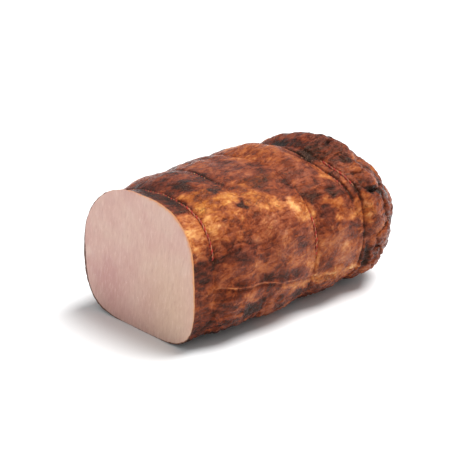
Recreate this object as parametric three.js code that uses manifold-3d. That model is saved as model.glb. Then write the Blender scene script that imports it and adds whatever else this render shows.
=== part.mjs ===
// A smoked pork loin, cut flat at one end and tied with five loops of butcher's twine.
// Millimetres, +Z up. The loin lies along X on its settled underside, with the cut face towards -X,
// its front towards -Y, and the origin under the middle of its box.
//
// An angle round the loin starts at the front (-Y) and rises over the top (90 degrees) to the back.
import * as THREE from "three";
import { ParametricGeometry } from "three/addons/geometries/ParametricGeometry.js";
import { mergeVertices } from "three/addons/utils/BufferGeometryUtils.js";
import Module from "manifold-3d";

// ---- Driving dimensions ----
const LENGTH = 180; // cut face to the tip of the rounded end
const BODY_END = 128; // where the body starts to close into the rounded end
const END_ROUND = 2.25; // fullness of the rounded end, 2 being an ellipse
const END_DROOP = 1.2; // how far the tip sinks
const SETTLE = 0.8; // how much of the underside is pressed flat

// Sections along the loin: distance from the cut face, size, and how far the middle drifts to the front.
const SECTIONS = [
  { at: 0, halfWidth: 50, height: 88.5, drift: 0 },
  { at: 30, halfWidth: 54, height: 89.5, drift: 2.5 },
  { at: 60, halfWidth: 56.5, height: 89.5, drift: 2.5 },
  { at: 90, halfWidth: 55.5, height: 90, drift: 3.5 },
  { at: 120, halfWidth: 53, height: 90, drift: 7 },
  { at: 150, halfWidth: 52, height: 91, drift: 9.5 },
  { at: 180, halfWidth: 53, height: 83, drift: 13 },
];

// Fullness of each quarter of the section, 2 being an ellipse: front top, back top, back under, front under.
const FACE_FULLNESS = [3.0, 1.95, 3.8, 3.8];
const END_FULLNESS = [1.9, 2.4, 3.2, 2.8];
const FULLNESS_REACH = 120; // distance over which the first turns into the second

const TWINE_RADIUS = 0.75;
const TWINE_GAP = 0.35; // clear space left between twine and meat
const GROOVE_DEPTH = 2.1;
const GROOVE_FLOOR = 1.05; // half widths of the groove at its floor and at its lips
const GROOVE_LIPS = 2.0;
const SQUEEZE_REACH = 9; // how far along the loin a loop's pull is felt

// Each loop of twine: its distance from the cut face, how far its front and its top lie past that,
// how deep it pulls the meat in, and the angle of its knot.
const LOOPS = [
  { at: 12.5, front: 1.0, top: 0.0, pull: 1.4, knot: 163 },
  { at: 48.0, front: 0.5, top: -2.5, pull: 1.3, knot: 170 },
  { at: 86.0, front: 5.5, top: 0.0, pull: 1.6, knot: 158 },
  { at: 119.5, front: 6.5, top: -1.0, pull: 1.2, knot: 166 },
  { at: 125.0, front: 6.5, top: -1.0, pull: 0.9, knot: 176 },
];
const KNOT_RADIUS = 1.9;
const KNOT_LENGTH = 2.6; // half length of the knot along the twine
const KNOT_LIFT = 0.85; // height of the knot's middle over the meat
const TAIL_LENGTH = 11;
const TAIL_GAP = 0.5; // clear space between a cut end of the twine and the meat under it
// How far each cut end bends down the back, in degrees, and on which side of the loop it lies.
const TAILS = [
  { side: 1, bend: 12.5 },
  { side: -1, bend: 2.5 },
];

// Muscle lobes and hollows of the outside: place along X, angle, reach along X, reach in degrees, height.
const LOBES = [
  { at: 150, angle: 92, reach: 12, spread: 34, height: 1.8 }, // dark lobe on top of the closed end
  { at: 152, angle: 57, reach: 8, spread: 14, height: -2.6 }, // crease under that lobe
  { at: 128, angle: 26, reach: 17, spread: 17, height: 4.0 }, // front flap, a high shoulder over the last loops
  { at: 119, angle: 70, reach: 13, spread: 20, height: -2.6 }, // flat slope between shoulder and top
  { at: 160, angle: 345, reach: 9, spread: 22, height: -2.8 }, // notch between flap and tip
  { at: 156, angle: 150, reach: 14, spread: 24, height: 2.0 }, // back lobe of the closed end
  { at: 152, angle: 200, reach: 9, spread: 12, height: -2.2 }, // seam between the back lobes
  { at: 101, angle: 84, reach: 11, spread: 40, height: 1.6 }, // swelling between the third and fourth loops
  { at: 108, angle: 200, reach: 20, spread: 30, height: 1.8 },
  { at: 66, angle: 190, reach: 14, spread: 24, height: 1.6 },
  { at: 70, angle: 336, reach: 24, spread: 9, height: -1.4 }, // hollow under the front seam
  { at: 0, angle: 205, reach: 20, spread: 16, height: 1.0 }, // flank of fat beside the cut face
];

const ROUND_STEPS = 60; // facets round the loin
const TWINE_STEPS = 60; // facets along a loop
const TWINE_SIDES = 6;
const KNOT_STEPS = [10, 7]; // facets round the knot and from end to end
const TAIL_STEPS = 6;
const WIDEST_ROW = 7.5; // most space between two rings of facets on the body
const END_ROWS = 11; // rings of facets on the rounded end
const FACE_RING = 0.55; // share of the way out from the cut face's middle to its rim for its one inner ring
const SMALL_TURN = 0.02; // a small step round the loin, for measuring directions
const SAME_POINT = 1e-4; // corners nearer than this are one corner

const radians = THREE.MathUtils.degToRad;
const { clamp, lerp } = THREE.MathUtils;

// ---- The loin's outside ----

// Distance along X of a place on the body, moved so that the loops' slants run straight through the grid.
function slanted(at, angle) {
  const stops = [{ at: 0, front: 0, top: 0 }, ...LOOPS, { at: LENGTH, front: 0, top: 0 }];
  const next = Math.max(1, stops.findIndex((s) => s.at >= at));
  const [a, b] = [stops[next - 1], stops[next]];
  const share = clamp((at - a.at) / (b.at - a.at), 0, 1);
  return at + lerp(a.front, b.front, share) * Math.cos(angle) + lerp(a.top, b.top, share) * Math.sin(angle);
}

// A value of SECTIONS at a distance along the loin, on a smooth curve through the values given.
function sectionAt(x, key) {
  const place = (clamp(x, 0, LENGTH) / LENGTH) * (SECTIONS.length - 1);
  const i = Math.min(Math.floor(place), SECTIONS.length - 2);
  const share = place - i;
  const value = (k) => SECTIONS[clamp(k, 0, SECTIONS.length - 1)][key];
  const [before, from, to, after] = [value(i - 1), value(i), value(i + 1), value(i + 2)];
  const [leave, arrive] = [(to - before) / 2, (after - from) / 2];
  const [square, cube] = [share ** 2, share ** 3];
  const ends = from * (2 * cube - 3 * square + 1) + to * (3 * square - 2 * cube);
  return ends + leave * (cube - 2 * square + share) + arrive * (cube - square);
}

// Radius of a section at an angle, with its quarter's fullness.
function sectionRadius(angle, halfWidth, halfHeight, x) {
  const turn = THREE.MathUtils.euclideanModulo(angle, 2 * Math.PI);
  const quarter = Math.min(3, Math.floor(turn / (Math.PI / 2)));
  const fullness = lerp(FACE_FULLNESS[quarter], END_FULLNESS[quarter], clamp(x / FULLNESS_REACH, 0, 1));
  const across = Math.abs(Math.cos(angle)) / halfWidth;
  const upright = Math.abs(Math.sin(angle)) / halfHeight;
  return Math.pow(across ** fullness + upright ** fullness, -1 / fullness);
}

// How far the meat stands in or out at a place, from the lobes and from the pull of the loops.
function swelling(at, angle) {
  let sum = 0;
  for (const lobe of LOBES) {
    const turn = THREE.MathUtils.euclideanModulo(THREE.MathUtils.radToDeg(angle) - lobe.angle + 180, 360) - 180;
    sum += lobe.height * Math.exp(-(((at - lobe.at) / lobe.reach) ** 2) - (turn / lobe.spread) ** 2);
  }
  for (const loop of LOOPS) sum -= loop.pull * Math.exp(-(((at - loop.at) / SQUEEZE_REACH) ** 2));
  return sum;
}

// A point of the outside without its grooves. close is 0 along the body and rises to 90 degrees at the tip.
function outside(at, close, angle) {
  const x = slanted(at, angle);
  const halfHeight = sectionAt(x, "height") / 2;
  const shrink = Math.pow(Math.cos(close), 2 / END_ROUND);
  const swell = swelling(at, angle);
  const plain = sectionRadius(angle, sectionAt(x, "halfWidth"), halfHeight, x);
  const radius = shrink * plain + swell * Math.cos(close);
  const y = -sectionAt(x, "drift") - radius * Math.cos(angle);
  const z = halfHeight - SETTLE - END_DROOP * (1 - shrink) + radius * Math.sin(angle);
  return new THREE.Vector3(x + swell * Math.sin(close), y, Math.max(0, z));
}

// The direction that points out of the meat within its own section.
function outward(at, close, angle) {
  const along = outside(at, close, angle + SMALL_TURN).sub(outside(at, close, angle - SMALL_TURN));
  return new THREE.Vector3(0, -along.z, along.y).normalize();
}

function grooveDepth(at) {
  const off = Math.min(...LOOPS.map((loop) => Math.abs(at - loop.at)));
  return GROOVE_DEPTH * clamp((GROOVE_LIPS - off) / (GROOVE_LIPS - GROOVE_FLOOR), 0, 1);
}

function skin(at, close, angle) {
  const depth = grooveDepth(at);
  const point = outside(at, close, angle);
  return depth > 0 ? point.addScaledVector(outward(at, close, angle), -depth) : point;
}

// Where the rings of facets lie: the cut face's middle, its rim, both lips and the floor of each groove,
// evenly between the grooves, and the rounded end.
function stations() {
  const rows = [{ at: 0, close: 0, face: 0 }, { at: 0, close: 0, face: FACE_RING }];
  const marks = [0];
  const grooveMarks = [-GROOVE_LIPS, -GROOVE_FLOOR, 0, GROOVE_FLOOR, GROOVE_LIPS];
  for (const loop of LOOPS) marks.push(...grooveMarks.map((mark) => loop.at + mark));
  marks.push(BODY_END);
  marks.forEach((mark, i) => {
    const gap = (marks[i + 1] ?? mark) - mark;
    const parts = Math.max(1, Math.ceil(gap / WIDEST_ROW));
    for (let k = 0; k < parts && gap > 0; k++) rows.push({ at: mark + (gap * k) / parts, close: 0, face: 1 });
  });
  for (let k = 0; k <= END_ROWS; k++) {
    const close = (k / END_ROWS) * (Math.PI / 2);
    const share = Math.pow(Math.sin(close), 2 / END_ROUND);
    rows.push({ at: lerp(BODY_END, LENGTH, share), close, face: 1 });
  }
  return rows;
}

function loinGeometry() {
  const rows = stations();
  const middle = new THREE.Vector3(0, 0, SECTIONS[0].height / 2 - SETTLE);
  const last = rows.length - 1;
  const tip = outside(LENGTH, Math.PI / 2, 0);
  return new ParametricGeometry(
    (u, v, target) => {
      const index = Math.round(v * last);
      const { at, close, face } = rows[index];
      const angle = -(Math.round(u * ROUND_STEPS) % ROUND_STEPS) * ((2 * Math.PI) / ROUND_STEPS);
      if (index === last) target.copy(tip);
      else target.copy(skin(at, close, angle)).lerp(middle, 1 - face);
    },
    ROUND_STEPS,
    last,
  );
}

// ---- Twine ----

// A point at some height over the meat's own surface; the twine sinks into its groove with a height below 0.
function over(at, angle, height) {
  return outside(at, 0, angle).addScaledVector(outward(at, 0, angle), height);
}

const SUNK = TWINE_GAP + TWINE_RADIUS - GROOVE_DEPTH; // height of the twine's middle in its groove

function loopGeometry(loop) {
  const points = [];
  for (let k = 0; k < TWINE_STEPS; k++) points.push(over(loop.at, (k / TWINE_STEPS) * 2 * Math.PI, SUNK));
  const path = new THREE.CatmullRomCurve3(points, true);
  return new THREE.TubeGeometry(path, TWINE_STEPS, TWINE_RADIUS, TWINE_SIDES, true);
}

// The knot is a lump that stands on the groove, longer along the twine than across it.
function knotGeometry(loop) {
  const angle = radians(loop.knot);
  const along = over(loop.at, angle + SMALL_TURN, 0).sub(over(loop.at, angle - SMALL_TURN, 0)).normalize();
  const out = outward(loop.at, 0, angle);
  const frame = new THREE.Matrix4().makeBasis(along, out, new THREE.Vector3().crossVectors(along, out));
  const middle = over(loop.at, angle, KNOT_LIFT);
  return new THREE.SphereGeometry(1, ...KNOT_STEPS)
    .scale(KNOT_LENGTH, KNOT_RADIUS, KNOT_RADIUS)
    .applyMatrix4(frame)
    .translate(middle.x, middle.y, middle.z);
}

// A cut end of the twine, which lies on the meat and bends away from the loop.
function tailGeometry(loop, { side, bend }) {
  const path = new THREE.CatmullRomCurve3(
    [0, 0.35, 0.7, 1].map((share) => {
      const at = loop.at + side * share * TAIL_LENGTH;
      return over(at, radians(loop.knot - bend * share ** 2), TAIL_GAP + TWINE_RADIUS);
    }),
  );
  const section = new THREE.Shape();
  for (let k = 0; k < TWINE_SIDES; k++) {
    const turn = (k / TWINE_SIDES) * 2 * Math.PI;
    section[k ? "lineTo" : "moveTo"](TWINE_RADIUS * Math.cos(turn), TWINE_RADIUS * Math.sin(turn));
  }
  return new THREE.ExtrudeGeometry(section, { steps: TAIL_STEPS, bevelEnabled: false, extrudePath: path });
}

// ---- Joining ----
const wasm = await Module();
wasm.setup();

function toSolid(geometry) {
  const bare = geometry.clone();
  bare.deleteAttribute("normal");
  bare.deleteAttribute("uv");
  const merged = mergeVertices(bare, SAME_POINT);
  return new wasm.Manifold(
    new wasm.Mesh({
      numProp: 3,
      vertProperties: merged.attributes.position.array,
      triVerts: new Uint32Array(merged.index.array),
    }),
  );
}

function toGeometry(solid) {
  const { vertProperties, triVerts } = solid.getMesh();
  const geometry = new THREE.BufferGeometry();
  geometry.setAttribute("position", new THREE.BufferAttribute(vertProperties, 3));
  geometry.setIndex(new THREE.BufferAttribute(triVerts, 1));
  geometry.computeVertexNormals();
  return geometry;
}

function tiedLoopGeometry(loop) {
  const tails = TAILS.map((tail) => tailGeometry(loop, tail));
  const pieces = [loopGeometry(loop), knotGeometry(loop), ...tails];
  return toGeometry(pieces.map(toSolid).reduce((whole, piece) => whole.add(piece)));
}

// ---- Assembly ----
const meat = new THREE.MeshStandardMaterial({ color: 0x8a4a2a, roughness: 0.45, metalness: 0 });
const twine = new THREE.MeshStandardMaterial({ color: 0xb0503c, roughness: 0.85, metalness: 0 });

const part = new THREE.Group();
const loin = new THREE.Mesh(loinGeometry(), meat);
loin.name = "loin";
part.add(loin);
LOOPS.forEach((loop, i) => {
  const mesh = new THREE.Mesh(tiedLoopGeometry(loop), twine);
  mesh.name = `twine_loop_${i + 1}`;
  part.add(mesh);
});

// The origin goes under the middle of the whole part's box.
const box = new THREE.Box3().setFromObject(part);
const centre = box.getCenter(new THREE.Vector3());
part.position.set(-centre.x, -centre.y, -box.min.z);

export default part;
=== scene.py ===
"""A smoked pork loin with a flat cut face, tied with five loops of twine, for Blender 4.5.

Shapes are worked out in millimetres in the loin's own frame: x from the cut face along the loin, y from
front (-) to back (+), z up from the surface it lies on. An angle round the loin starts at the front, rises
over the top at 90 degrees and comes down the back. place() puts the result in the row frame, in metres.
"""

import math

import bpy
import numpy as np
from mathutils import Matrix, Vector


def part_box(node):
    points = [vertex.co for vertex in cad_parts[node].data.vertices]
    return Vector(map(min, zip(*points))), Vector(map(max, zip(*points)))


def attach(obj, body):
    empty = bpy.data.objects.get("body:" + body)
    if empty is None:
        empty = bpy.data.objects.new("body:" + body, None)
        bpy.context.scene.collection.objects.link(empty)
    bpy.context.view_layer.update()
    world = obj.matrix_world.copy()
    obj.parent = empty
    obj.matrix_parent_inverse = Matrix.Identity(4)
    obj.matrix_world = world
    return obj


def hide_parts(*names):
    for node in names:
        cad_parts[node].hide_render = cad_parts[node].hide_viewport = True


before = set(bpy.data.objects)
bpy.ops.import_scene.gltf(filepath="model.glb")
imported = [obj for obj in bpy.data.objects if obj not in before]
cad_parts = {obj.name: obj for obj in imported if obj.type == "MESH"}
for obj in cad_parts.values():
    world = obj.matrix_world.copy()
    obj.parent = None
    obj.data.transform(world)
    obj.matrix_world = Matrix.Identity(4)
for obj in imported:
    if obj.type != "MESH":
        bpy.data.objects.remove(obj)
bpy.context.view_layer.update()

# ---- The loin's base form, as in the CAD model ----
# LENGTH, BODY_END, END_ROUND, END_DROOP, the sections and the fullnesses are a least-squares fit or what it was
# given, rounded. They weren't chosen by hand.
LENGTH = 180.0
BODY_END = 128.0  # where the rounded end starts
END_ROUND = 2.25  # fullness of the rounded end, 2 being an ellipse
END_DROOP = 1.2  # how far the tip sinks
SETTLE = 0.8  # how far the underside is pressed flat
SQUEEZE_REACH = 9.0  # how far from a loop the meat is still drawn in
# distance from the cut face, half width, height, drift of the middle to the front
SECTIONS = np.array(
    [
        (0, 50, 88.5, 0),
        (30, 54, 89.5, 2.5),
        (60, 56.5, 89.5, 2.5),
        (90, 55.5, 90, 3.5),
        (120, 53, 90, 7),
        (150, 52, 91, 9.5),
        (180, 53, 83, 13),
    ]
)
# squareness of each quarter: front top, back top, back bottom, front bottom
FACE_FULLNESS = np.array([3.0, 1.95, 3.8, 3.8])
END_FULLNESS = np.array([1.9, 2.4, 3.2, 2.8])
FULLNESS_REACH = 120.0  # distance over which the first turns into the second
# each loop: distance from the cut face, how far its front and its top lie past that, pull, angle of its knot;
# the places started from the same fit and were then changed
LOOPS = [
    (12.5, 1.0, 0.0, 1.4, 163),
    (48.0, 0.5, -2.5, 1.3, 170),
    (86.0, 5.5, 0.0, 1.6, 158),
    (119.5, 6.5, -1.0, 1.2, 166),
    (125.0, 6.5, -1.0, 0.9, 176),
]
# place, angle, reach along, reach in degrees, height
LOBES = [
    (150, 92, 12, 34, 1.8),
    (152, 57, 8, 14, -2.6),
    (128, 26, 17, 17, 4.0),
    (119, 70, 13, 20, -2.6),
    (160, 345, 9, 22, -2.8),
    (156, 150, 14, 24, 2.0),
    (152, 200, 9, 12, -2.2),
    (101, 84, 11, 40, 1.6),
    (108, 200, 20, 30, 1.8),
    (66, 190, 14, 24, 1.6),
    (70, 336, 24, 9, -1.4),
    (0, 205, 20, 16, 1.0),
]
DEGREE = 0.87  # millimetres round the loin in one degree, on average
CAP = 80.0  # length along the surface from BODY_END to the tip


def section_at(x, column):
    """A value of SECTIONS at a distance along the loin, on a smooth curve through the values given."""
    values = SECTIONS[:, column]
    last = len(values) - 1
    place = np.clip(x, 0, LENGTH) / LENGTH * last
    i = np.minimum(place.astype(int), last - 1)
    t = place - i
    before, start, end, after = (values[np.clip(i + k, 0, last)] for k in (-1, 0, 1, 2))
    ends = start * (2 * t**3 - 3 * t**2 + 1) + end * (3 * t**2 - 2 * t**3)
    return ends + (end - before) / 2 * (t**3 - 2 * t**2 + t) + (after - start) / 2 * (t**3 - t**2)


def slanted(at, angle):
    """Distance along the loin of a place, where the loops make the sections slant."""
    stops = [0, *(loop[0] for loop in LOOPS), LENGTH]
    front = np.interp(at, stops, [0, *(loop[1] for loop in LOOPS), 0])
    top = np.interp(at, stops, [0, *(loop[2] for loop in LOOPS), 0])
    return at + front * np.cos(angle) + top * np.sin(angle)


def section_radius(angle, half_width, half_height, x):
    """Distance from the middle of a section to its edge, each quarter with its own squareness."""
    quarter = (np.mod(angle, 2 * np.pi) / (np.pi / 2)).astype(int) % 4
    share = np.clip(x / FULLNESS_REACH, 0, 1)
    n = FACE_FULLNESS[quarter] * (1 - share) + END_FULLNESS[quarter] * share
    across = np.abs(np.cos(angle)) / half_width
    upward = np.abs(np.sin(angle)) / half_height
    return (across**n + upward**n) ** (-1 / n)


def turn_from(angle, degrees):
    """Degrees from a direction, -180 to 180."""
    return np.mod(np.degrees(angle) - degrees + 180, 360) - 180


def swelling(at, angle):
    """How far the meat stands out where it bulges, and is drawn in at the loops."""
    total = np.zeros(np.broadcast(at, angle).shape)
    for place, degrees, reach, spread, height in LOBES:
        total += height * np.exp(-(((at - place) / reach) ** 2) - (turn_from(angle, degrees) / spread) ** 2)
    for loop in LOOPS:
        total -= loop[3] * np.exp(-(((at - loop[0]) / SQUEEZE_REACH) ** 2))
    return total


def outside(run, angle):
    """Points of the base form. run is the distance along the body, and goes on over the rounded end."""
    close = np.clip((run - BODY_END) / CAP, 0, 1) * np.pi / 2
    at = np.where(run < BODY_END, run, BODY_END + (LENGTH - BODY_END) * np.sin(close) ** (2 / END_ROUND))
    x = slanted(at, angle)
    half_height = section_at(x, 2) / 2
    shrink = np.cos(close) ** (2 / END_ROUND)
    swell = swelling(at, angle)
    radius = shrink * section_radius(angle, section_at(x, 1), half_height, x) + swell * np.cos(close)
    y = -section_at(x, 3) - radius * np.cos(angle)
    z = half_height - SETTLE - END_DROOP * (1 - shrink) + radius * np.sin(angle)
    return np.stack([x + swell * np.sin(close), y, np.maximum(z, 0)], -1)


def unit(v):
    return v / np.maximum(np.linalg.norm(v, axis=-1, keepdims=True), 1e-9)


def outside_normal(run, angle):
    """Directions out of the base form."""
    step = 0.4
    last = BODY_END + CAP - 0.01
    along = outside(np.minimum(run + step, last), angle) - outside(np.maximum(run - step, 0), angle)
    turn = outside(run, angle + 0.01) - outside(run, angle - 0.01)
    return unit(np.cross(along, turn))


# ---- Seeded noise ----
def table_of(seed):
    rng = np.random.default_rng(seed)
    return rng.permutation(256), unit(rng.normal(size=(256, 3))), rng.random((256, 3))


def hashed(cell, order):
    return order[(order[(order[cell[..., 0] & 255] + cell[..., 1]) & 255] + cell[..., 2]) & 255]


def smooth_noise(p, seed):
    """Gradient noise, about -1 to 1."""
    order, slopes, _ = table_of(seed)
    cell = np.floor(p).astype(int)
    f = p - cell
    w = f * f * f * (f * (f * 6 - 15) + 10)
    total = 0
    for corner in np.ndindex(2, 2, 2):
        c = np.array(corner)
        weight = np.prod(np.where(c == 1, w, 1 - w), axis=-1)
        total = total + weight * np.sum(slopes[hashed(cell + c, order)] * (f - c), axis=-1)
    return total * 1.5


def fractal(p, scale, octaves, seed):
    total, size = 0, 1.0
    for k in range(octaves):
        total = total + size * smooth_noise(p / scale * 2.03**k + 7.1 * k, seed + k)
        size *= 0.5
    return total


def ridges(p, scale, octaves, seed):
    """Noise with sharp crests, 0 to 1."""
    total, size, whole = 0, 1.0, 0
    for k in range(octaves):
        total = total + size * (1 - np.abs(smooth_noise(p / scale * 2.1**k + 3.7 * k, seed + k)) * 1.6)
        whole += size
        size *= 0.5
    return np.clip(total / whole, 0, 1)


def cells(p, scale, seed):
    """Distances to the nearest and second nearest of scattered points, in cells."""
    order, _, spots = table_of(seed)
    q = p / scale
    cell = np.floor(q).astype(int)
    first = np.full(q.shape[:-1], 9.0)
    second = first.copy()
    for offset in np.ndindex(3, 3, 3):
        c = cell + np.array(offset) - 1
        d = np.linalg.norm(c + spots[hashed(c, order)] - q, axis=-1)
        second = np.minimum(second, np.maximum(first, d))
        first = np.minimum(first, d)
    return first, second


def rise(value, low, high):
    t = np.clip((value - low) / (high - low), 0, 1)
    return t * t * (3 - 2 * t)


# ---- Marks on the surface, placed by distance from the cut face and angle ----
def line_distance(run, degrees, points):
    """Millimetres from each place to a line through points, and the share of the line passed."""
    best = np.full(run.shape, 1e9)
    passed = np.zeros(run.shape)
    for k, ((x0, g0), (x1, g1)) in enumerate(zip(points, points[1:])):
        dx, dg = x1 - x0, (g1 - g0) * DEGREE
        px, pg = run - x0, (degrees - g0) * DEGREE
        t = np.clip((px * dx + pg * dg) / (dx * dx + dg * dg), 0, 1)
        d = np.hypot(px - t * dx, pg - t * dg)
        passed = np.where(d < best, (k + t) / (len(points) - 1), passed)
        best = np.minimum(best, d)
    return best, passed


# the fold of fat along the lower front, as places along and degrees: mostly another script's output, rounded
SEAM = [
    (14, -5),
    (25, -7.5),
    (40, -9.5),
    (52, -12),
    (66, -15),
    (80, -18.5),
    (97, -23),
    (114, -25),
    (126, -30),
]
DEEP_CRACKS = (7, 8)  # places in CRACKS of the two that are deeper and wider
CRACKS = [
    [(19, 23), (23, 27), (28, 31), (31, 36), (35, 39)],
    [(23, 27), (27, 27.5), (31, 28)],
    [(12, 13), (16, 18), (20, 23)],
    [(20, 19), (30, 20.5), (40, 18), (48, 13)],
    [(79, 54), (84, 57), (88, 60)],
    [(80, 45), (86, 46.5), (91, 48)],
    [(100, 37), (106, 36), (114, 34)],
    [(129, 34), (133, 26), (140, 24), (150, 27)],
    [(128, -8), (129.5, -20), (130, -42)],
    [(26, -17), (33, -20), (40, -26)],
    [(50, 62), (60, 60), (70, 63)],
    [(18, 97), (26, 101), (36, 99)],
    [(60, 128), (70, 136), (82, 133)],
    [(30, 195), (42, 204), (58, 200), (70, 208)],
    [(92, 218), (104, 228), (116, 222)],
    [(64, 158), (76, 150), (84, 153)],
]
# zones of colour: place, angle, half length, half width in degrees, tilt, tone from 0 charred to 1 pale fat,
# how plum-coloured (the plum value also carries a painted sheen), how amber; a few zones paint shade or sheen
ZONES = [
    # painted sheen: this first zone, on the top by the cut face, is mauve partly for the skin and partly as a
    # painted reflection of light
    (20, 100, 26, 14, 0, 0.38, 0.9, 0.0),
    (6, 75, 8, 10, 0, 0.26, 0.2, 0.1),
    (28, 74, 18, 9, 0, 0.24, 0.2, 0.2),
    (30, 60, 16, 5, 0, 0.48, 0.0, 1.0),
    (22, 49, 9, 6, 0, 0.62, 0.0, 1.0),
    (38, 50, 10, 5, 0, 0.75, 0.0, 0.9),
    (7, 58, 8, 6, 0, 0.22, 0.7, 0.0),
    (5, 35, 7, 15, 0, 0.84, 0.0, 0.2),
    (17, 36, 7, 6, 15, 0.82, 0.0, 0.5),
    (35, 38, 12, 5, 0, 0.60, 0.0, 0.4),
    (33, 27, 14, 6, 8, 0.58, 0.1, 0.2),
    (36, 15, 16, 5, 0, 0.46, 0.8, 0.0),
    (16, 14, 6, 2.5, 30, 0.20, 0.4, 0.0),
    (7, 6, 7, 8, 0, 0.24, 0.6, 0.0),
    (24, 4, 11, 7, -10, 0.44, 0.2, 0.0),
    (40, 2, 12, 5, -12, 0.56, 0.1, 0.1),
    (6, -12, 7, 8, 0, 0.44, 0.0, 0.2),
    (26, -11, 13, 5, 0, 0.40, 0.0, 0.1),
    (20, -21, 7, 4, 10, 0.16, 0.6, 0.0),
    (30, -17, 7, 2.5, 15, 0.60, 0.0, 0.1),
    # painted shade: darker where the underside turns away from the light
    (10, -30, 14, 7, 0, 0.22, 0.2, 0.0),
    # painted shade: near black, the shade inside a hole over the dent at 40 along, -32 degrees
    (41, -27, 9, 6, 0, 0.06, 0.0, 0.0),
    (49, 80, 4, 24, 0, 0.20, 0.2, 0.1),
    (47, 42, 4, 2.5, 20, 0.10, 0.3, 0.0),
    (36, 60, 4, 2.5, 0, 0.14, 0.1, 0.1),
    (26, 65, 4, 2, 0, 0.18, 0.1, 0.2),
    (63, 82, 14, 20, 0, 0.50, 0.7, 0.0),
    (65, 57, 14, 5, 0, 0.38, 0.0, 0.9),
    (57, 45, 7, 5, -25, 0.66, 0.0, 0.7),
    (67, 36, 9, 4, -14, 0.80, 0.0, 0.4),
    (61, 23, 12, 9, 0, 0.62, 0.5, 0.0),
    (80, 27, 9, 8, 0, 0.76, 0.0, 0.4),
    (75, 29, 3, 4, -40, 0.94, 0.0, 0.1),
    (81, 13, 8, 5, 0, 0.55, 0.5, 0.0),
    (60, 5, 14, 5, -10, 0.50, 0.4, 0.0),
    (72, -3, 14, 4, -12, 0.62, 0.0, 0.0),
    (82, -10, 7, 6, -15, 0.70, 0.0, 0.3),
    (64, -12, 16, 3.2, -8, 0.24, 0.8, 0.0),
    (50, -16, 10, 4, 0, 0.40, 0.0, 0.1),
    (72, -21, 14, 4, -14, 0.76, 0.0, 0.3),
    (58, -27, 10, 4, 0, 0.44, 0.0, 0.2),
    (78, -28, 8, 3, 0, 0.20, 0.6, 0.0),
    (93, 88, 14, 24, 0, 0.57, 0.0, 0.3),
    (80, 70, 8, 12, 0, 0.36, 0.2, 0.1),
    (98, 50, 10, 9, 0, 0.47, 0.6, 0.0),
    (82, 45, 8, 7, 0, 0.32, 0.2, 0.1),
    (92, 31, 5, 6, 0, 0.24, 0.2, 0.2),
    (103, 27, 9, 4, 0, 0.66, 0.0, 0.4),
    (98, 19, 7, 4, 0, 0.24, 1.0, 0.0),
    (110, 17, 10, 5, -6, 0.70, 0.0, 0.3),
    (117, 7, 4, 4, 0, 0.30, 0.7, 0.0),
    (98, 2, 12, 7, 0, 0.64, 0.3, 0.1),
    (114, -10, 14, 9, 0, 0.60, 0.3, 0.1),
    (94, -13, 7, 5, 0, 0.30, 0.1, 0.1),
    (100, -25, 18, 5, 0, 0.70, 0.0, 0.4),
    (112, 34, 9, 4, 0, 0.27, 0.5, 0.0),
    (115, 50, 6, 8, 0, 0.70, 0.0, 0.4),
    (105, 68, 8, 10, 0, 0.54, 0.0, 0.2),
    (126, 92, 9, 26, 0, 0.20, 0.1, 0.0),
    (140, 92, 14, 26, 0, 0.26, 0.0, 0.0),
    (146, 70, 7, 9, 0, 0.30, 0.0, 0.2),
    (150, 58, 5, 5, 0, 0.62, 0.0, 0.6),
    (156, 45, 10, 8, 0, 0.48, 0.0, 0.7),
    (126, 73, 5, 4, 0, 0.0, 0.0, 0.0),
    (131, 64, 6, 5, 0, 0.32, 0.0, 0.2),
    (126, 53, 5, 4, 0, 0.50, 0.5, 0.0),
    (134, 57, 6, 4, 0, 0.12, 0.5, 0.0),
    (138, 47, 9, 4, 0, 0.54, 0.0, 0.4),
    (135, 37, 10, 7, 0, 0.42, 0.0, 0.2),
    (137, 25, 10, 2.5, 0, 0.04, 0.0, 0.0),
    (126, 14, 10, 11, 0, 0.70, 0.0, 0.4),
    (138, 4, 8, 16, 0, 0.50, 0.1, 0.2),
    (152, 5, 10, 20, 0, 0.40, 0.1, 0.3),
    (158, 22, 6, 8, 0, 0.14, 0.1, 0.0),
    (129, -24, 3, 14, 0, 0.16, 0.1, 0.0),
    (142, -22, 10, 12, 0, 0.44, 0.2, 0.1),
]
WILD_ZONES = 90  # more zones of the same kind, scattered over the back and the underside
END_ZONES = 16  # and over the front of the far end
SKIN_VALUES = (0.42, 0.3, 0.2)  # tone, plum and amber where no zone reaches
TIP_VALUES = (0.36, 0.2, 0.3)  # and at the very tip

# middles of the lobes of the rounded end: run along the surface, angle, size
END_LOBES = [
    (134, 100, 22),
    (145, 69, 12),
    (126, 54, 7),
    (137, 47, 9),
    (140, 35, 10),
    (130, 8, 22),
    (153, 14, 13),
    (150, -10, 13),
    (140, -36, 18),
    (164, 50, 17),
    (160, 104, 20),
    (180, 74, 18),
    (178, 10, 22),
    (168, -34, 20),
    (140, 140, 24),
    (168, 150, 20),
    (146, 178, 18),
    (182, 200, 24),
    (146, 214, 22),
    (142, 262, 26),
    (178, 284, 24),
]
FIBRE_TILT = -5  # degrees
FIBRE_STRETCH = 4
# dents and bulges of the skin: place, angle, reach along, reach in degrees, height
DENTS = [
    (12, 100, 12, 30, -1.8),
    (30, 92, 10, 26, 0.6),
    (70, 92, 9, 24, -1.0),
    (24, 22, 9, 5, -0.7),
    (38, 8, 14, 6, 0.9),
    (30, -15, 12, 6, 0.8),
    (66, 20, 16, 12, 0.5),
    (64, -10, 12, 4, -0.8),
    (97, 30, 7, 8, -0.9),
    (108, 12, 8, 12, 0.9),
    (100, 62, 8, 8, 0.8),
    (120, -10, 7, 14, 0.8),
    (40, -32, 8, 8, -1.4),
    (127, 112, 6, 16, -1.6),
    (110, 108, 9, 18, 1.0),
    (4, 188, 5, 6, 1.4),
    (2, 172, 4, 5, -1.2),
]

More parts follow.
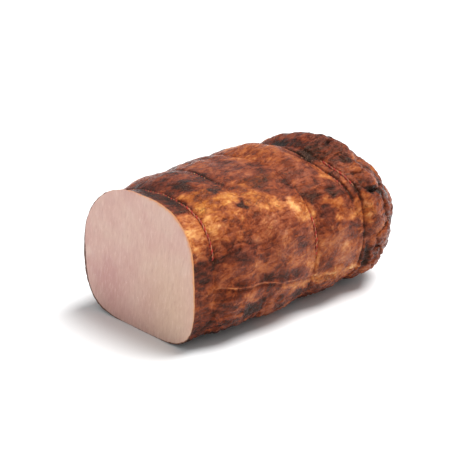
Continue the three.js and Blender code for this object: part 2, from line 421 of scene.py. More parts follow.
# how deep each loop cuts in by angle: (degrees, millimetres)
CUTS = [
    [(-90, 1.2), (-10, 0.5), (12, 0.7), (20, 1.1), (50, 1.2), (75, 0.9), (110, 0.8), (130, 1.4), (270, 1.2)],
    [(-90, 1.2), (-30, 0.8), (-10, 0.2), (45, 0.2), (66, 0.9), (100, 1.0), (130, 1.4), (270, 1.2)],
    [(-90, 1.2), (-20, 1.0), (0, 1.2), (20, 1.3), (35, 0.9), (60, 0.5), (110, 0.7), (130, 1.4), (270, 1.2)],
    [(-90, 1.2), (-20, 0.6), (0, 0.3), (22, 0.5), (34, 1.8), (110, 1.9), (130, 1.4), (270, 1.2)],
    [(-90, 1.2), (-20, 1.2), (0, 0.9), (34, 1.0), (60, 1.1), (75, 0.6), (110, 0.6), (130, 1.4), (270, 1.2)],
]
# how far the middle of each loop lies over the floor of its cut by angle: (degrees, millimetres);
# where this is well below zero the twine is sunk in the meat, out of sight
SHOWING = [
    [
        *[(-90, 0.4), (-60, 0.3), (-45, -1.0), (10, -1.0), (17, 0.3), (52, 0.3), (62, -0.3)],
        *[(110, -0.5), (130, 0.4), (270, 0.4)],
    ],
    [(-90, 0.4), (-60, 0.3), (-45, -1.0), (60, -1.0), (72, -0.4), (110, -0.5), (130, 0.4), (270, 0.4)],
    [
        *[(-90, 0.4), (-60, 0.3), (-45, -1.0), (-8, -0.8), (-2, 0.35), (18, 0.35), (28, -0.7)],
        *[(110, -1.0), (130, 0.4), (270, 0.4)],
    ],
    [(-90, 0.4), (-40, 0.3), (-25, -1.0), (30, -1.0), (38, -0.2), (100, -0.2), (130, 0.4), (270, 0.4)],
    [
        *[(-90, 0.4), (-50, 0.3), (-35, -1.0), (30, -1.0), (36, 0.3), (60, 0.3), (68, -0.9)],
        *[(110, -1.0), (130, 0.4), (270, 0.4)],
    ],
]


def by_angle(angle, stops):
    """A value between stops given in degrees from -90 to 270."""
    return np.interp(np.mod(np.degrees(angle) + 90, 360) - 90, *np.array(stops, float).T)


def groove_of(run, angle, p):
    """How deep the loops cut into the meat at a place, in millimetres."""
    depth = np.zeros(run.shape)
    for loop, cut in zip(LOOPS, CUTS):
        away = np.abs(run - loop[0])
        wall = 0.8 * np.exp(-((away / 1.05) ** 2)) + 0.2 * np.exp(-((away / 3.4) ** 2))
        depth = np.maximum(depth, wall * by_angle(angle, cut))
    return depth * (1.0 + 0.3 * fractal(p, 17, 1, 121))


def along_fibres(p):
    """Places squeezed along the muscle fibres, so that noise there is drawn out along them."""
    tilt = np.radians(FIBRE_TILT)
    x = p[..., 0] * np.cos(tilt) - p[..., 2] * np.sin(tilt)
    z = p[..., 0] * np.sin(tilt) + p[..., 2] * np.cos(tilt)
    return np.stack([x / FIBRE_STRETCH, p[..., 1], z], -1)


def lower_edges(run, degrees):
    """1 on the ragged lower edges at the front and the back, 0 elsewhere."""
    front = rise(-degrees, 14, 30) * rise(degrees, -75, -40)
    back = rise(degrees, 190, 205) * rise(-degrees, -262, -230)
    return (front + back) * rise(-run, -190, -165)


def end_lobes(run, p, warp):
    """Lobes of the rounded end, with creases between them that grow shallow towards the tip."""
    q = p + 5.5 * warp
    near = np.full(run.shape, 9.0)
    next_near = near.copy()
    for r, g, size in END_LOBES:
        middle = outside(np.array([float(r)]), np.radians([float(g)]))[0]
        d = np.linalg.norm(q - middle, axis=-1) / size
        next_near = np.minimum(next_near, np.maximum(near, d))
        near = np.minimum(near, d)
    crease = (1 - rise(next_near - near, 0, 0.22)) * (1 - 0.6 * rise(run, 156, 180))
    deep = 0.35 + 0.65 * rise(fractal(p, 26, 2, 161), -0.35, 0.3)
    return 2.2 * (0.7 - np.minimum(near, 1.2)) - 3.0 * deep * crease**1.4


def fat_fold(run, degrees, warp):
    """The lip of the fold of fat, with a groove beside it."""
    waved = degrees + 1.2 * warp[..., 0]
    away, _ = line_distance(run, waved, SEAM)
    side = waved - np.interp(run, *np.array(SEAM, float).T)
    lip = np.exp(-((away / 2.6) ** 2)) * np.where(side > 0, 1.0, 0.25)
    groove = np.exp(-(((away + np.where(side > 0, 1.6, -1.0)) / 1.1) ** 2))
    return 0.9 * lip - 0.9 * groove


def crack_depth(run, degrees, warp):
    """How deep the cracks go, shallower towards their ends."""
    total = np.zeros(run.shape)
    for k, points in enumerate(CRACKS):
        depth, width = (1.5, 1.4) if k in DEEP_CRACKS else (0.8, 0.9)
        away, passed = line_distance(run + 0.9 * warp[..., 1], degrees + 1.1 * warp[..., 2], points)
        ends = np.clip(4 * passed * (1 - passed) + 0.15, 0, 1)
        total += depth * ends * np.exp(-((away / width) ** 2))
    return total


def relief(run, angle, p):
    """Height of the meat over its base form, without the grooves of the twine."""
    degrees = np.mod(np.degrees(angle) + 90, 360) - 90
    end = rise(run, 124, 140)
    low_edge = lower_edges(run, degrees)
    height = 0.9 * fractal(p, 24, 2, 11) + 0.42 * fractal(p, 8, 2, 21)
    height += 0.5 * (ridges(along_fibres(p), 5.5, 3, 31) - 0.6) * (1 - 0.4 * end)
    height += 0.16 * fractal(p, 2.6, 2, 41) * (1 + 1.2 * end + 1.5 * low_edge)
    for place_along, middle, reach, spread, tall in DENTS:
        along, turned = (run - place_along) / reach, turn_from(angle, middle) / spread
        height += tall * np.exp(-(along**2) - turned**2)
    warp = np.stack([fractal(p, 11, 2, 51 + k) for k in range(3)], -1)
    height += end * end_lobes(run, p, warp)
    small, small_next = cells(p + 1.4 * warp, 6.5, 61)
    crumbs = rise(small_next - small, 0.02, 0.3) - 0.7
    height += (0.5 * end * rise(-run, -185, -160) + 0.9 * low_edge) * crumbs
    height += fat_fold(run, degrees, warp) - crack_depth(run, degrees, warp)
    # calmer at the knife's edge
    return height * rise(run, -5.0, 5.0)


def all_zones():
    """The placed zones, and seeded ones for the back, the underside and the far end."""
    rng = np.random.default_rng(7)
    wild = []
    for _ in range(WILD_ZONES):
        tone = rng.choice([0.12, 0.25, 0.35, 0.45, 0.55, 0.7, 0.85])
        long, wide = rng.uniform(5, 17), rng.uniform(4, 13)
        spot = (rng.uniform(0, BODY_END + CAP), rng.uniform(118, 318), long, wide, rng.uniform(-25, 25))
        wild.append((*spot, tone, rng.uniform(0, 0.6), rng.uniform(0, 0.7)))
    for _ in range(END_ZONES):
        spot = (rng.uniform(158, 205), rng.uniform(-40, 118), rng.uniform(6, 12), rng.uniform(8, 20), 0)
        wild.append((*spot, rng.uniform(0.15, 0.55), rng.uniform(0, 0.5), rng.uniform(0, 0.4)))
    return ZONES + wild


def colours(run, angle, p, height, groove):
    """Tone of the skin, from charred to pale fat, with painted shade in hollows, grooves and low down, and how
    plum-coloured (with a painted sheen) and how amber it is.
    """
    degrees = np.mod(np.degrees(angle) + 90, 360) - 90
    warp = np.stack([fractal(p, 9, 4, 71 + k) for k in range(2)], -1)
    u, g = run + 4.5 * warp[..., 0], degrees + 4.2 * warp[..., 1]
    weight = np.full(run.shape, 0.02)
    sums = weight[..., None] * np.array(SKIN_VALUES)
    for place, middle, long, wide, tilt, *values in all_zones():
        px, pg = u - place, (np.mod(g - middle + 180, 360) - 180) * DEGREE
        c, s = math.cos(math.radians(tilt)), math.sin(math.radians(tilt))
        away = np.hypot((c * px + s * pg) / long, (c * pg - s * px) / (wide * DEGREE))
        w = np.exp(-1.8 * away**3) / (long * wide) ** 0.5
        weight = weight + w
        sums = sums + w[..., None] * np.array(values)
    tip = rise(run, 176, 198)[..., None]
    values = sums / weight[..., None] * (1 - tip) + np.array(TIP_VALUES) * tip
    tone, plum_and_sheen, amber = np.moveaxis(values, -1, 0)
    tone = tone + 0.16 * fractal(p, 12, 4, 91) + 0.22 * (ridges(along_fibres(p), 4.5, 4, 81) - 0.62)
    # painted shade: darker in the hollows and cracks of the skin, in the grooves of the twine and low down near
    # the floor; a little lighter on raised bumps
    tone = tone - 0.24 * rise(-height, 0.5, 2.2) + 0.05 * rise(height, 0.6, 1.8)
    tone = tone - 0.26 * rise(groove, 0.4, 1.3)
    tone = tone - 0.3 * rise(-p[..., 2], -12, -1)
    away, _ = line_distance(run, degrees + 1.2 * fractal(p, 11, 2, 51), SEAM)
    wide = 0.55 + 1.9 * rise(run, 66, 110)
    seam = np.exp(-((away / wide) ** 2)) * rise(run, 10, 18)
    tone = tone + (0.74 + 0.3 * fractal(p, 5, 2, 141) - tone) * seam
    return {"tone": tone, "plum_and_sheen": np.clip(plum_and_sheen, 0, 1), "amber": np.clip(0.85 * amber, 0, 1)}


# ---- Placing in the row frame ----
ROUND = 480  # points round the loin
ROWS = 182  # rows along it
FACE_RINGS = 22  # rings on the cut face
METRE = 1000  # millimetres


def row_places():
    """Places of the rows of the mesh, closer together at the loops and on the rounded end."""
    fine = np.linspace(0, BODY_END + CAP, 4000)
    density = np.ones(len(fine))
    for loop in LOOPS:
        density += 1.3 * np.exp(-(((fine - loop[0]) / 2.6) ** 2))
    density += 0.6 * np.exp(-((fine / 1.5) ** 2))
    total = np.concatenate([[0], np.cumsum((density[1:] + density[:-1]) / 2)])
    return np.interp(np.linspace(0, total[-1], ROWS), total, fine)


rows = row_places()
angles = -np.arange(ROUND) * (2 * np.pi / ROUND)
RUN, ANGLE = np.meshgrid(rows[:-1], angles, indexing="ij")
BASE = outside(RUN, ANGLE)

cad_low, cad_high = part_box("loin")
middle_of_base = (BASE.reshape(-1, 3).min(0) + BASE.reshape(-1, 3).max(0)) / 2 / METRE
SHIFT = np.array([cad_low.x, (cad_low.y + cad_high.y) / 2 - middle_of_base[1], cad_low.z])


def place(p):
    """Millimetres in the loin's own frame to metres in the row frame."""
    return np.asarray(p) / METRE + SHIFT


def make_object(name, points, faces, materials, slots=None, smooth=True):
    mesh = bpy.data.meshes.new(name)
    mesh.from_pydata(points.tolist(), [], [list(map(int, f)) for f in faces])
    for material in materials:
        mesh.materials.append(material)
    if slots is not None:
        mesh.polygons.foreach_set("material_index", np.asarray(slots, np.int32))
    mesh.polygons.foreach_set("use_smooth", np.full(len(mesh.polygons), smooth))
    mesh.update()
    obj = bpy.data.objects.new(name, mesh)
    bpy.context.scene.collection.objects.link(obj)
    return obj


def add_attribute(obj, name, values):
    layer = obj.data.attributes.new(name, "FLOAT", "POINT")
    layer.data.foreach_set("value", np.asarray(values, np.float32).ravel())


# ---- Materials ----
class Nodes:
    """Short ways to add nodes to a material."""

    def __init__(self, name):
        self.material = bpy.data.materials.new(name)
        self.material.use_nodes = True
        self.tree = self.material.node_tree
        self.tree.nodes.clear()
        self.output = self.add("ShaderNodeOutputMaterial")
        self.shader = self.add("ShaderNodeBsdfPrincipled")
        self.link(self.shader.outputs[0], self.output.inputs[0])

    def add(self, kind, **settings):
        node = self.tree.nodes.new(kind)
        for key, value in settings.items():
            setattr(node, key, value)
        return node

    def link(self, source, target):
        if isinstance(source, (int, float)):
            target.default_value = source
        elif isinstance(source, tuple):
            target.default_value = (*source, 1.0)
        else:
            self.tree.links.new(source, target)

    def value(self, name):
        return self.add("ShaderNodeAttribute", attribute_name=name).outputs["Fac"]

    def place(self, stretch=(1, 1, 1), turn=(0, 0, 0)):
        """Places on the object, turned and then stretched."""
        coordinates = self.add("ShaderNodeTexCoord").outputs["Object"]
        mapping = self.add("ShaderNodeMapping", vector_type="TEXTURE")
        mapping.inputs["Scale"].default_value = tuple(1 / v for v in stretch)
        mapping.inputs["Rotation"].default_value = turn
        self.link(coordinates, mapping.inputs["Vector"])
        return mapping.outputs[0]

    def noise(self, scale, detail=4.0, rough=0.55, twist=0.0, stretch=(1, 1, 1), turn=(0, 0, 0)):
        node = self.add("ShaderNodeTexNoise")
        self.link(self.place(stretch, turn), node.inputs["Vector"])
        node.inputs["Scale"].default_value = scale
        node.inputs["Detail"].default_value = detail
        node.inputs["Roughness"].default_value = rough
        node.inputs["Distortion"].default_value = twist
        return node.outputs["Fac"]

    def math(self, kind, a, b=0.0, clamp=False):
        node = self.add("ShaderNodeMath", operation=kind, use_clamp=clamp)
        self.link(a, node.inputs[0])
        self.link(b, node.inputs[1])
        return node.outputs[0]

    def span(self, value, low, high, to_low=0.0, to_high=1.0):
        node = self.add("ShaderNodeMapRange", interpolation_type="SMOOTHSTEP")
        for socket, v in zip(node.inputs, (value, low, high, to_low, to_high)):
            self.link(v, socket)
        return node.outputs[0]

    def ramp(self, value, stops):
        node = self.add("ShaderNodeValToRGB")
        band = node.color_ramp
        while len(band.elements) < len(stops):
            band.elements.new(0.5)
        for element, (position, colour) in zip(band.elements, stops):
            element.position = position
            element.color = (*colour, 1.0)
        self.link(value, node.inputs[0])
        return node.outputs[0]

    def mix(self, factor, a, b):
        node = self.add("ShaderNodeMix", data_type="RGBA")
        self.link(factor, node.inputs["Factor"])
        self.link(a, node.inputs[6])
        self.link(b, node.inputs[7])
        return node.outputs[2]

    def bump(self, height, distance, strength=1.0, under=None):
        node = self.add("ShaderNodeBump")
        node.inputs["Strength"].default_value = strength
        node.inputs["Distance"].default_value = distance
        self.link(height, node.inputs["Height"])
        if under is not None:
            self.link(under, node.inputs["Normal"])
        return node.outputs[0]


def paint(red, green, blue):
    """A colour given as it shows on a screen, 0 to 255, as Blender's linear values."""
    shares = (channel / 255 for channel in (red, green, blue))
    return tuple(((share + 0.055) / 1.055) ** 2.4 if share > 0.0404 else share / 12.92 for share in shares)


def skin_material():
    """Smoked skin: brown, yellow and mauve scales of tone, the mauve partly a painted sheen on the top, with
    gilt streaks, veins and specks.
    """
    n = Nodes("smoked_skin")
    blotch = n.noise(170, 7, 0.66, 0.6)
    streak = n.noise(420, 6, 0.64, 1.1, (0.3, 1, 1), (0, -0.06, 0))
    fine = n.noise(1400, 4, 0.65)
    slant = n.noise(380, 6, 0.64, 1.4, (0.42, 1, 1), (0, -0.4, 0))
    streak = n.mix(n.span(n.noise(45, 2, 0.5), 0.46, 0.56), streak, slant)
    spread = n.math("ADD", n.math("MULTIPLY", blotch, 0.85), n.math("MULTIPLY", streak, 0.85))
    tone = n.math("ADD", n.value("tone"), n.math("SUBTRACT", spread, 0.875))
    brown = [
        (0.0, paint(16, 6, 4)),
        (0.18, paint(42, 13, 6)),
        (0.34, paint(94, 32, 14)),
        (0.5, paint(138, 61, 29)),
        (0.66, paint(172, 94, 52)),
        (0.82, paint(204, 132, 80)),
        (1.0, paint(228, 178, 110)),
    ]
    yellow = [
        (0.0, paint(16, 7, 3)),
        (0.2, paint(66, 24, 5)),
        (0.38, paint(116, 50, 6)),
        (0.55, paint(154, 80, 10)),
        (0.7, paint(184, 112, 34)),
        (0.84, paint(210, 148, 64)),
        (1.0, paint(230, 188, 110)),
    ]
    mauve = [
        (0.0, paint(22, 10, 10)),
        (0.2, paint(62, 27, 22)),
        (0.4, paint(106, 54, 42)),
        (0.6, paint(140, 80, 60)),
        (1.0, paint(206, 146, 116)),
    ]
    base = n.ramp(tone, brown)
    base = n.mix(n.value("amber"), base, n.ramp(tone, yellow))
    violet = n.span(n.noise(120, 6, 0.65, 1.0), 0.46, 0.68)
    # the plum mask brings in the mauve scale: plum-coloured skin, and on the top by the cut face a painted
    # sheen
    plum_and_sheen = n.math("ADD", n.math("MULTIPLY", n.value("plum_and_sheen"), 0.65), n.math("MULTIPLY", violet, 0.4), True)
    base = n.mix(plum_and_sheen, base, n.ramp(tone, mauve))
    gilt = n.span(n.noise(300, 6, 0.72, 0.6, (0.5, 1, 1), (0, -0.2, 0)), 0.58, 0.7)
    gilt = n.math("MULTIPLY", gilt, n.span(tone, 0.34, 0.6))
    base = n.mix(n.math("MULTIPLY", gilt, 0.5), base, paint(206, 144, 84))
    wander = n.math("ABSOLUTE", n.math("SUBTRACT", n.noise(62, 5, 0.62, 0.8), 0.5))
    veins = n.math("MULTIPLY", n.span(wander, 0.014, 0.003), n.span(n.noise(48, 2, 0.5), 0.5, 0.6))
    base = n.mix(n.math("MULTIPLY", veins, 0.75), base, paint(54, 20, 12))
    specks = n.span(n.noise(700, 4, 0.75), 0.58, 0.68)
    specks = n.math("MULTIPLY", specks, n.span(n.noise(70, 3, 0.6), 0.46, 0.62))
    base = n.mix(n.math("MULTIPLY", specks, 0.65), base, paint(40, 15, 9))
    n.link(base, n.shader.inputs["Base Color"])
    n.link(n.span(blotch, 0.35, 0.7, 0.2, 0.42), n.shader.inputs["Roughness"])
    rough = n.bump(n.math("ADD", streak, n.math("MULTIPLY", blotch, 0.8)), 0.0012, 0.7)
    n.link(n.bump(fine, 0.0003, 0.6, rough), n.shader.inputs["Normal"])
    n.shader.inputs["Specular IOR Level"].default_value = 0.26
    n.shader.inputs["Specular Tint"].default_value = (1.0, 0.48, 0.28, 1)
    return n.material


def cut_material():
    """Cured meat cut across: pale pink, with fibres, flecks of fat and a dark rim."""
    n = Nodes("cut_face")
    cloud = n.noise(45, 5, 0.55, 0.3)
    fibres = n.noise(760, 5, 0.7, 0.6, (1, 1, 0.22), (0.14, 0, 0))
    fine = n.noise(1500, 3, 0.6)
    pinks = [(0.34, paint(204, 158, 148)), (0.5, paint(212, 172, 159)), (0.66, paint(215, 180, 165))]
    base = n.ramp(cloud, pinks)
    base = n.mix(n.value("blush"), base, paint(198, 145, 138))
    base = n.mix(n.value("buff"), base, paint(212, 180, 152))
    base = n.mix(n.span(fibres, 0.5, 0.72, 0.0, 0.45), base, paint(236, 208, 197))
    base = n.mix(n.span(fibres, 0.5, 0.28, 0.0, 0.5), base, paint(190, 142, 132))
    flecks = n.span(n.noise(330, 6, 0.78, 2.0, (1, 1, 0.45), (0.5, 0, 0)), 0.63, 0.7)
    flecks = n.math("MULTIPLY", flecks, n.span(n.noise(40, 2, 0.5), 0.44, 0.6))
    base = n.mix(n.math("MULTIPLY", flecks, 0.75), base, paint(250, 236, 228))
    base = n.mix(n.value("fat"), base, paint(240, 220, 202))
    uneven = n.math("MULTIPLY", n.math("SUBTRACT", n.noise(300, 5, 0.65), 0.5), 0.9)
    amber_rim = n.span(n.math("ADD", n.value("amber_rim"), uneven), 0.3, 0.95, 0.0, 0.9)
    base = n.mix(amber_rim, base, paint(226, 150, 84))
    dark_rim = n.span(n.math("ADD", n.value("dark_rim"), uneven), 0.5, 0.8, 0.0, 0.95)
    base = n.mix(dark_rim, base, paint(84, 40, 20))
    n.link(base, n.shader.inputs["Base Color"])
    n.link(n.span(cloud, 0.3, 0.7, 0.42, 0.55), n.shader.inputs["Roughness"])
    grain = n.math("ADD", fibres, n.math("MULTIPLY", fine, 0.4))
    n.link(n.bump(grain, 0.0003, 0.5), n.shader.inputs["Normal"])
    n.shader.inputs["Specular IOR Level"].default_value = 0.3
    n.shader.inputs["Subsurface Weight"].default_value = 0.2
    n.shader.inputs["Subsurface Radius"].default_value = (0.006, 0.003, 0.002)
    return n.material


def twine_material(name, light, dark):
    """A stained strand of cotton."""
    n = Nodes(name)
    stain = n.noise(260, 5, 0.6)
    fluff = n.noise(2600, 3, 0.7)
    base = n.ramp(stain, [(0.35, dark), (0.65, light)])
    base = n.mix(n.span(fluff, 0.4, 0.75, 0.0, 0.35), base, paint(140, 60, 44))
    n.link(base, n.shader.inputs["Base Color"])
    n.link(n.span(stain, 0.3, 0.7, 0.6, 0.85), n.shader.inputs["Roughness"])
    n.link(n.bump(fluff, 0.0002, 0.8), n.shader.inputs["Normal"])
    return n.material


skin = skin_material()
cut = cut_material()
red_strand = twine_material("red_strand", paint(196, 50, 34), paint(132, 28, 18))
pale_strand = twine_material("pale_strand", paint(196, 128, 88), paint(136, 72, 44))


# ---- The loin ----
SKIN_SLOT, CUT_SLOT = 0, 1
OFF_SKIN = 0.4  # value of the skin's masks where they don't show
FACE_MIDDLE = 43.5  # height of the middle of the cut face
FACE_HALF_WIDTH, FACE_HALF_HEIGHT = 50.0, 44.2


def build_loin():
    """The skin in rows from the cut face to the tip, and the cut face in rings."""
    normal = outside_normal(RUN, ANGLE)
    groove = groove_of(RUN, ANGLE, BASE)
    height = relief(RUN, ANGLE, BASE)
    points = BASE + normal * (height - groove)[..., None]
    points[0, :, 0] = 0.0
    points[..., 2] = np.maximum(points[..., 2], 0)
    masks = colours(RUN, ANGLE, BASE, height, groove)
    count = len(rows) - 1
    tip = outside(np.array([BODY_END + CAP]), np.array([0.0]))[0] + np.array([0.6, 0, 0])
    # the cut face: rings that shrink to the middle
    shares = 1 - np.linspace(0, 1, FACE_RINGS + 1)[1:-1] ** 1.7
    middle = np.array([0.0, -section_at(np.array([0.0]), 3)[0], SECTIONS[0, 2] / 2 - SETTLE])
    rings = middle + (points[0] - middle) * shares[:, None, None]
    rings[..., 0] = 0.22 * fractal(rings, 14, 3, 131) * rise(1 - shares, 0, 0.12)[:, None]
    every = np.concatenate([points.reshape(-1, 3), tip[None], rings.reshape(-1, 3), middle[None]])
    faces, slots = [], []
    j = np.arange(ROUND)
    k = (j + 1) % ROUND

    def band(a, b, slot):
        faces.extend(np.stack([a + j, a + k, b + k, b + j], 1).tolist())
        slots.extend([slot] * ROUND)

    for i in range(count - 1):
        band(i * ROUND, (i + 1) * ROUND, SKIN_SLOT)
    tip_index = count * ROUND
    faces.extend([[(count - 1) * ROUND + a, (count - 1) * ROUND + b, tip_index] for a, b in zip(j, k)])
    slots.extend([SKIN_SLOT] * ROUND)
    first_ring = tip_index + 1
    band(first_ring, 0, CUT_SLOT)
    for i in range(len(shares) - 1):
        band(first_ring + (i + 1) * ROUND, first_ring + i * ROUND, CUT_SLOT)
    last_ring = first_ring + (len(shares) - 1) * ROUND
    centre_index = last_ring + ROUND
    faces.extend([[last_ring + b, last_ring + a, centre_index] for a, b in zip(j, k)])
    slots.extend([CUT_SLOT] * ROUND)
    obj = make_object("loin_meat", place(every), faces, [skin, cut], slots)
    edge = obj.data.attributes.new("sharp_edge", "BOOLEAN", "EDGE")
    pairs = np.zeros(len(obj.data.edges) * 2, np.int32)
    obj.data.edges.foreach_get("vertices", pairs)
    pairs = pairs.reshape(-1, 2)
    edge.data.foreach_set("value", (pairs < ROUND).all(1))
    rest = len(every) - tip_index
    for name, values in masks.items():
        add_attribute(obj, name, np.concatenate([values.ravel(), np.full(rest, OFF_SKIN)]))
    add_face_masks(obj, every, first_ring)
    return obj


def add_face_masks(obj, every, first_ring):
    """Masks of the cut face: how near the rim, where it is pinker, more buff, and fat."""
    y, z = every[:, 1], every[:, 2]
    on_face = np.arange(len(every)) >= first_ring
    on_face[:ROUND] = True
    angle = np.arctan2(z - FACE_MIDDLE, -y)
    rim_radius = section_radius(angle, FACE_HALF_WIDTH, FACE_HALF_HEIGHT, np.zeros(len(every)))
    inwards = rim_radius - np.hypot(y, z - FACE_MIDDLE)
    degrees = np.mod(np.degrees(angle) + 90, 360) - 90
    cured = np.exp(-(((degrees - 40) / 70) ** 2))
    amber = np.clip(1.1 - np.maximum(inwards, 0) / (1.4 + 2.6 * cured), 0, 1.1) * (0.6 + 0.4 * cured)
    add_attribute(obj, "amber_rim", np.where(on_face, amber, 0))
    dark = np.clip(1.25 - np.maximum(inwards, 0) / 1.6, 0, 1.25) * (1 - 0.85 * cured)
    add_attribute(obj, "dark_rim", np.where(on_face, dark, 0))
    add_attribute(obj, "blush", 0.75 * np.exp(-(((y - 30) / 20) ** 2) - ((z - 20) / 16) ** 2))
    add_attribute(obj, "buff", 0.7 * np.exp(-(((y + 30) / 26) ** 2) - ((z - 26) / 30) ** 2))
    fat = np.exp(-(((y - 46) / 3.5) ** 2) - ((z - 37) / 3.5) ** 2)
    add_attribute(obj, "fat", np.clip(0.4 * fat, 0, 1))


loin = build_loin()
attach(loin, "root")
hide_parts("loin")


# ---- Twine ----
TWINE_RADIUS = 0.75
STRAND = 0.42  # radius of each of its two strands
STRAND_SIDES = 6
LAY = 4.4  # length along the twine in which the strands turn once
LOOP_STEPS = 960
KNOT_STEPS = 64
KNOT_WRAPS = 2.5
KNOT_LENGTH = 3.2
KNOT_RADIUS = 1.15
KNOT_LIFT = 0.6
TAIL_STEPS = 60
TAIL_GAP = 0.6  # from the middle of the loop to the start of a cut end
TAIL_LENGTH = 10  # a millimetre shorter towards the cut face, and longer the other way


def tube(path, radius, sides, closed):
    """Rings of points round a path, and the faces between them."""
    ahead = np.roll(path, -1, 0) - np.roll(path, 1, 0)
    if not closed:
        ahead[0], ahead[-1] = path[1] - path[0], path[-1] - path[-2]
    ahead = unit(ahead)
    lean = np.roll(ahead, 5, 0)[0] + np.array([0.013, 0.021, 0.017])  # any direction not along the path
    side = unit(np.cross(ahead[0], lean))
    rings = []
    turns = np.linspace(0, 2 * np.pi, sides, endpoint=False)
    for point, direction in zip(path, ahead):
        side = side - direction * np.dot(side, direction)
        side /= np.linalg.norm(side)
        other = np.cross(direction, side)
        rings.append(point + radius * (np.cos(turns)[:, None] * side + np.sin(turns)[:, None] * other))
    points = np.concatenate(rings)
    count = len(path)
    faces = []
    for i in range(count if closed else count - 1):
        a, b = i * sides, ((i + 1) % count) * sides
        for s in range(sides):
            t = (s + 1) % sides
            faces.append([a + s, a + t, b + t, b + s])
    if not closed:
        faces.append(list(range(sides))[::-1])
        faces.append([(count - 1) * sides + s for s in range(sides)])
    return points, faces


def twisted(path, outward, closed, start=0.0):
    """Two strands that wind round each other along a path."""
    step = np.linalg.norm(np.roll(path, -1, 0) - path, axis=1)
    run = np.concatenate([[0], np.cumsum(step[:-1])])
    whole = run[-1] + (step[-1] if closed else 0)
    turns = max(1, round(whole / LAY))
    phase = run / whole * turns * 2 * np.pi + start
    ahead = np.roll(path, -1, 0) - np.roll(path, 1, 0)
    if not closed:
        ahead[0], ahead[-1] = path[1] - path[0], path[-1] - path[-2]
    ahead = unit(ahead)
    across = unit(np.cross(ahead, outward))
    out = np.cross(across, ahead)
    made = []
    for half in (0, np.pi):
        offset = np.cos(phase + half)[:, None] * out + np.sin(phase + half)[:, None] * across
        made.append(path + offset * (TWINE_RADIUS - STRAND))
    return made


def lying(run, angle, lift):
    """Points at a height over the bumpy meat, and the directions out of it."""
    base = outside(run, angle)
    normal = outside_normal(run, angle)
    surface = relief(run, angle, base) - groove_of(run, angle, base)
    return base + normal * (surface + lift)[:, None], normal


def smooth_path(points, closed, times):
    """Points averaged with their neighbours, some times over."""
    for _ in range(times):
        middle = (np.roll(points, 1, 0) + points + np.roll(points, -1, 0)) / 3
        points = middle if closed else np.concatenate([points[:1], middle[1:-1], points[-1:]])
    return points


def knot_path(middle, along, out):
    """Two and a half wraps round the twine, drawn tight."""
    side = np.cross(along, out)
    t = np.linspace(0, 1, KNOT_STEPS)
    wind = KNOT_WRAPS * 2 * np.pi * t
    return (
        middle
        + along * ((t - 0.5) * KNOT_LENGTH)[:, None]
        + out * (KNOT_RADIUS * np.cos(wind) + 0.5)[:, None]
        + side * (KNOT_RADIUS * np.sin(wind))[:, None]
    )


def loop_path(index):
    """The middle of a loop round the meat, and the directions out of it."""
    at = np.full(LOOP_STEPS, LOOPS[index][0])
    angle = np.linspace(0, 2 * np.pi, LOOP_STEPS, endpoint=False)
    sunk = 0.35 * fractal(outside(at, angle), 7, 2, 151) - 0.05
    path, out = lying(at, angle, by_angle(angle, SHOWING[index]) + sunk)
    path = smooth_path(path, True, 12)
    path[:, 2] = np.maximum(path[:, 2], TWINE_RADIUS + 0.1)
    return path, out


def tail_path(at, knot, side):
    """A cut end of a loop, lying on the meat; side is -1 towards the cut face."""
    t = np.linspace(0, 1, TAIL_STEPS)
    run = at + side * (TAIL_GAP + (TAIL_LENGTH + side) * t)
    turn = np.radians(knot) - np.radians(5) * t**2 * (1.5 + side)
    turn = turn + np.radians(1.2) * side * np.sin(5 * t)
    tail, out = lying(run, turn, TWINE_RADIUS + 0.25 + 0.9 * (1 - t) ** 3)
    return smooth_path(tail, False, 8), out


def build_loop(index):
    """One loop of twine with its knot and two cut ends."""
    at, _, _, _, knot = LOOPS[index]
    path, out = loop_path(index)
    strands = [(strand, True) for strand in twisted(path, out, True)]
    near = int(round(knot / 360 * LOOP_STEPS))
    along = unit(path[near + 2] - path[near - 2])
    wraps = knot_path(path[near] + out[near] * KNOT_LIFT, along, out[near])
    knot_out = np.repeat(out[near][None], KNOT_STEPS, 0)
    strands += [(strand, False) for strand in twisted(wraps, knot_out, False)]
    for side in (1, -1):
        tail, tail_out = tail_path(at, knot, side)
        strands += [(strand, False) for strand in twisted(tail, tail_out, False, side)]
    points, faces, slots, base = [], [], [], 0
    for k, (strand, closed) in enumerate(strands):
        p, f = tube(strand, STRAND, STRAND_SIDES, closed)
        points.append(p)
        faces += [[v + base for v in face] for face in f]
        slots += [k % 2] * len(f)
        base += len(p)
    places = place(np.concatenate(points))
    obj = make_object(f"twine_{index + 1}", places, faces, [red_strand, pale_strand], slots)
    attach(obj, "root")
    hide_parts(f"twine_loop_{index + 1}")


for number in range(len(LOOPS)):
    build_loop(number)


# ---- Floor, light and camera ----
FLOOR_REACH = 6.0
SKY_STRENGTH = 0.51
SUN_FROM = (0.34, -0.15, 0.92)
SUN_SPREAD = 33
SUN_STRENGTH = 4.1
# the camera's angles, place, lens and shift are a rounded least-squares fit
CAMERA_AZIMUTH, CAMERA_ELEVATION = -43.6, 22.0
CAMERA_TARGET = [85.5, 0.0, 37.8]  # millimetres in the loin's own frame
CAMERA_DISTANCE = 0.948
CAMERA_LENS = 115.8
CAMERA_SHIFT = (-0.0126, -0.0088)


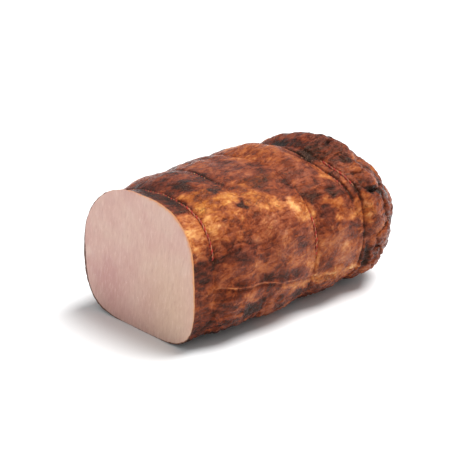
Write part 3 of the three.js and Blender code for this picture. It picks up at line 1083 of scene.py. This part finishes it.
def build_floor():
    """A plain pale floor."""
    n = Nodes("floor")
    n.shader.inputs["Base Color"].default_value = (0.9, 0.91, 0.915, 1)
    n.shader.inputs["Roughness"].default_value = 0.8
    n.shader.inputs["Specular IOR Level"].default_value = 0.2
    corners = np.array([(-1, -1, 0), (1, -1, 0), (1, 1, 0), (-1, 1, 0)]) * FLOOR_REACH
    floor = make_object("floor", corners, [[0, 1, 2, 3]], [n.material], smooth=False)


def add_sun(source, spread, strength):
    """Even light from a direction, as soft as that many degrees of sky."""
    light = bpy.data.lights.new("softbox", "SUN")
    light.energy = strength
    light.angle = math.radians(spread)
    obj = bpy.data.objects.new("softbox", light)
    obj.rotation_mode = "QUATERNION"
    obj.rotation_quaternion = (-Vector(source)).to_track_quat("-Z", "Y")
    bpy.context.scene.collection.objects.link(obj)


def build_light():
    """A white sky and one soft light from above."""
    world = bpy.data.worlds.new("studio")
    world.use_nodes = True
    background = world.node_tree.nodes["Background"]
    background.inputs["Color"].default_value = (1, 1, 1, 1)
    background.inputs["Strength"].default_value = SKY_STRENGTH
    bpy.context.scene.world = world
    add_sun(SUN_FROM, SUN_SPREAD, SUN_STRENGTH)


def build_camera():
    """The camera looks at the cut face and the front."""
    azimuth, elevation = math.radians(CAMERA_AZIMUTH), math.radians(CAMERA_ELEVATION)
    back = Vector(
        (
            math.sin(azimuth) * math.cos(elevation),
            -math.cos(azimuth) * math.cos(elevation),
            math.sin(elevation),
        )
    )
    target = Vector(place(CAMERA_TARGET))
    data = bpy.data.cameras.new("camera")
    data.lens = CAMERA_LENS
    data.sensor_width = 36
    data.shift_x, data.shift_y = CAMERA_SHIFT
    data.dof.use_dof = False
    data.clip_start, data.clip_end = 0.05, 50
    camera = bpy.data.objects.new("camera", data)
    camera.location = target + back * CAMERA_DISTANCE
    camera.rotation_mode = "QUATERNION"
    camera.rotation_quaternion = (-back).to_track_quat("-Z", "Y")
    bpy.context.scene.collection.objects.link(camera)
    bpy.context.scene.camera = camera


build_floor()
build_light()
build_camera()
bpy.context.scene.view_settings.view_transform = "Standard"
